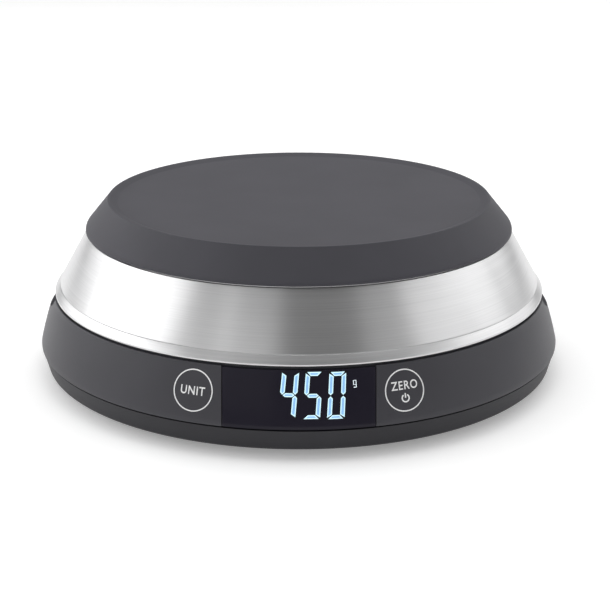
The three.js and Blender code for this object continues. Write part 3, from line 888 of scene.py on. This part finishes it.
def battery_door():
    """The door panel with four grip ridges."""
    half = DOOR_HIGH[0] - 1.0
    under = DOOR_LOW[2]
    panel = block("panel", (-half, DOOR_LOW[1], under), (half, DOOR_HIGH[1], DOOR_HIGH[2]), 0.5)
    ridges = []
    for i in range(4):
        y = 66 + 1.8 * i
        ridges.append(block("ridge", (-8, y, under - 0.35), (8, y + 0.9, under + 0.3), 0.2))
    dress(merged("door_panel", panel, *ridges), "battery_lid", "tray_plastic", ["battery_door"])


def rubber_feet():
    """Round pads, each with a fine ring in its underside."""
    top = box_mm("rubber_foot_1")[1][2]
    ring = [(4.2, 0, 0.2), (4.4, 0.4, 0.2), (5.0, 0.4, 0.2), (5.2, 0, 0.2)]
    foot_r = 8
    outline = rounded([(0, 0), *ring, (foot_r, 0, 0.7), (foot_r, top), (0, top)], bends=4)
    for i, angle in enumerate(DIAGONALS):
        foot = turned(f"foot_pad_{i + 1}", outline, steps=64, centre=polar(FOOT_CIRCLE, angle))
        dress(foot, "base", "foot_rubber", [f"rubber_foot_{i + 1}"])


def screw_piece(name, x, y, node, head_r, body):
    """A pan head with a cross recess, seen from below."""
    low, high = (corner[2] for corner in box_mm(node))
    seat = low + 1.8
    shank_r = head_r / 2
    outline = rounded([
        (0, low),
        (head_r, low, 0.6),
        (head_r, seat),
        (shank_r, seat),
        (shank_r, high),
        (0, high),
    ], bends=4)
    head = turned(name, outline, steps=48, centre=(x, y))
    arm = head_r * 0.55
    slot = 0.35
    arms = [
        block("slot", (x - a, y - b, low - 1), (x + a, y + b, low + 0.9))
        for a, b in ((arm, slot), (slot, arm))
    ]
    carve(head, "DIFFERENCE", *arms)
    dress(head, body, "screw_steel", [node])


def underside_screws():
    for i, angle in enumerate(DIAGONALS):
        x, y = polar(SCREW_CIRCLE, angle)
        screw_piece(f"case_screw_{i + 1}", x, y, f"housing_screw_{i + 1}", 3.0, "base")
    for i, x in enumerate(CELL_SCREWS_X):
        screw_piece(f"cell_screw_{i + 1}", x, 0, f"load_cell_base_screw_{i + 1}", 3.8, "base")


# ---- weighing platform ----

def weighing_platform():
    """The plate with a sunk nest, a skirt and a notch beside each finger recess."""
    nest_top = NEST_R + 3.0
    skirt_z = PLATE_Z - 5.7
    outline = rounded([
        (0, NEST_Z - PLATE_WALL),
        (NEST_R + 1.7, NEST_Z - PLATE_WALL),
        (nest_top + 1.5, PLATE_Z - PLATE_WALL),
        (PLATE_R - 2, PLATE_Z - PLATE_WALL),
        (PLATE_R - 2, skirt_z),
        (PLATE_R, skirt_z),
        (PLATE_R, PLATE_Z, 0.6),
        (nest_top, PLATE_Z, 0.6),
        (NEST_R, NEST_Z, 1.2),
        (0, NEST_Z),
    ])
    plate = turned("platform_plate", outline)
    carve(plate, "DIFFERENCE", *scoops("notch", SCOOP_CLEAR))
    dress(plate, "platform", "housing_plastic", ["weighing_platform"])


def load_cell_bar():
    """The load cell bar between the base and the platform, with its slit, flexure bores and screw holes."""
    low, high = box_mm("load_cell")
    middle = (low[2] + high[2]) / 2
    half = 7
    reach = 20  # the cuts run past both sides of the bar
    flexure_r = 4.4
    bar = block("cell_bar", low, high, 0.4)
    tools = [block("slit", (-half, -reach, middle - 1.5), (half, reach, middle + 1.5))]
    for x in (-half, half):
        flexure = turned(
            f"flexure_{x}", [(0, -reach), (flexure_r, -reach), (flexure_r, reach), (0, reach)], steps=48)
        flexure.data.transform(Matrix.Rotation(math.radians(90), 4, "X"))
        flexure.data.transform(Matrix.Translation((x * MM, 0, middle * MM)))
        tools.append(flexure)
    tools += [drill(f"hole_{x}", 2.3, 40, x, 0, 32) for x in (-34, -20, 20, 34)]
    carve(bar, "DIFFERENCE", *tools)
    paint(bar, finishes["bar_aluminium"])
    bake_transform(bar)
    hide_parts("load_cell")


def hidden_pieces():
    """The CAD pieces that keep their shape get their slot's finish."""
    slots = {part["node"]: part["material_slot"] for part in frame["record"]["subparts"]}
    for name, node in frame["nodes"].items():
        paint(node, finishes[slots[name]])


studio()
hidden_pieces()
steel_bowl()
silicone_base()
upper_housing()
display_window()
touch_marks()
lit_display()
bottom_tray()
battery_door()
rubber_feet()
underside_screws()
weighing_platform()
load_cell_bar()
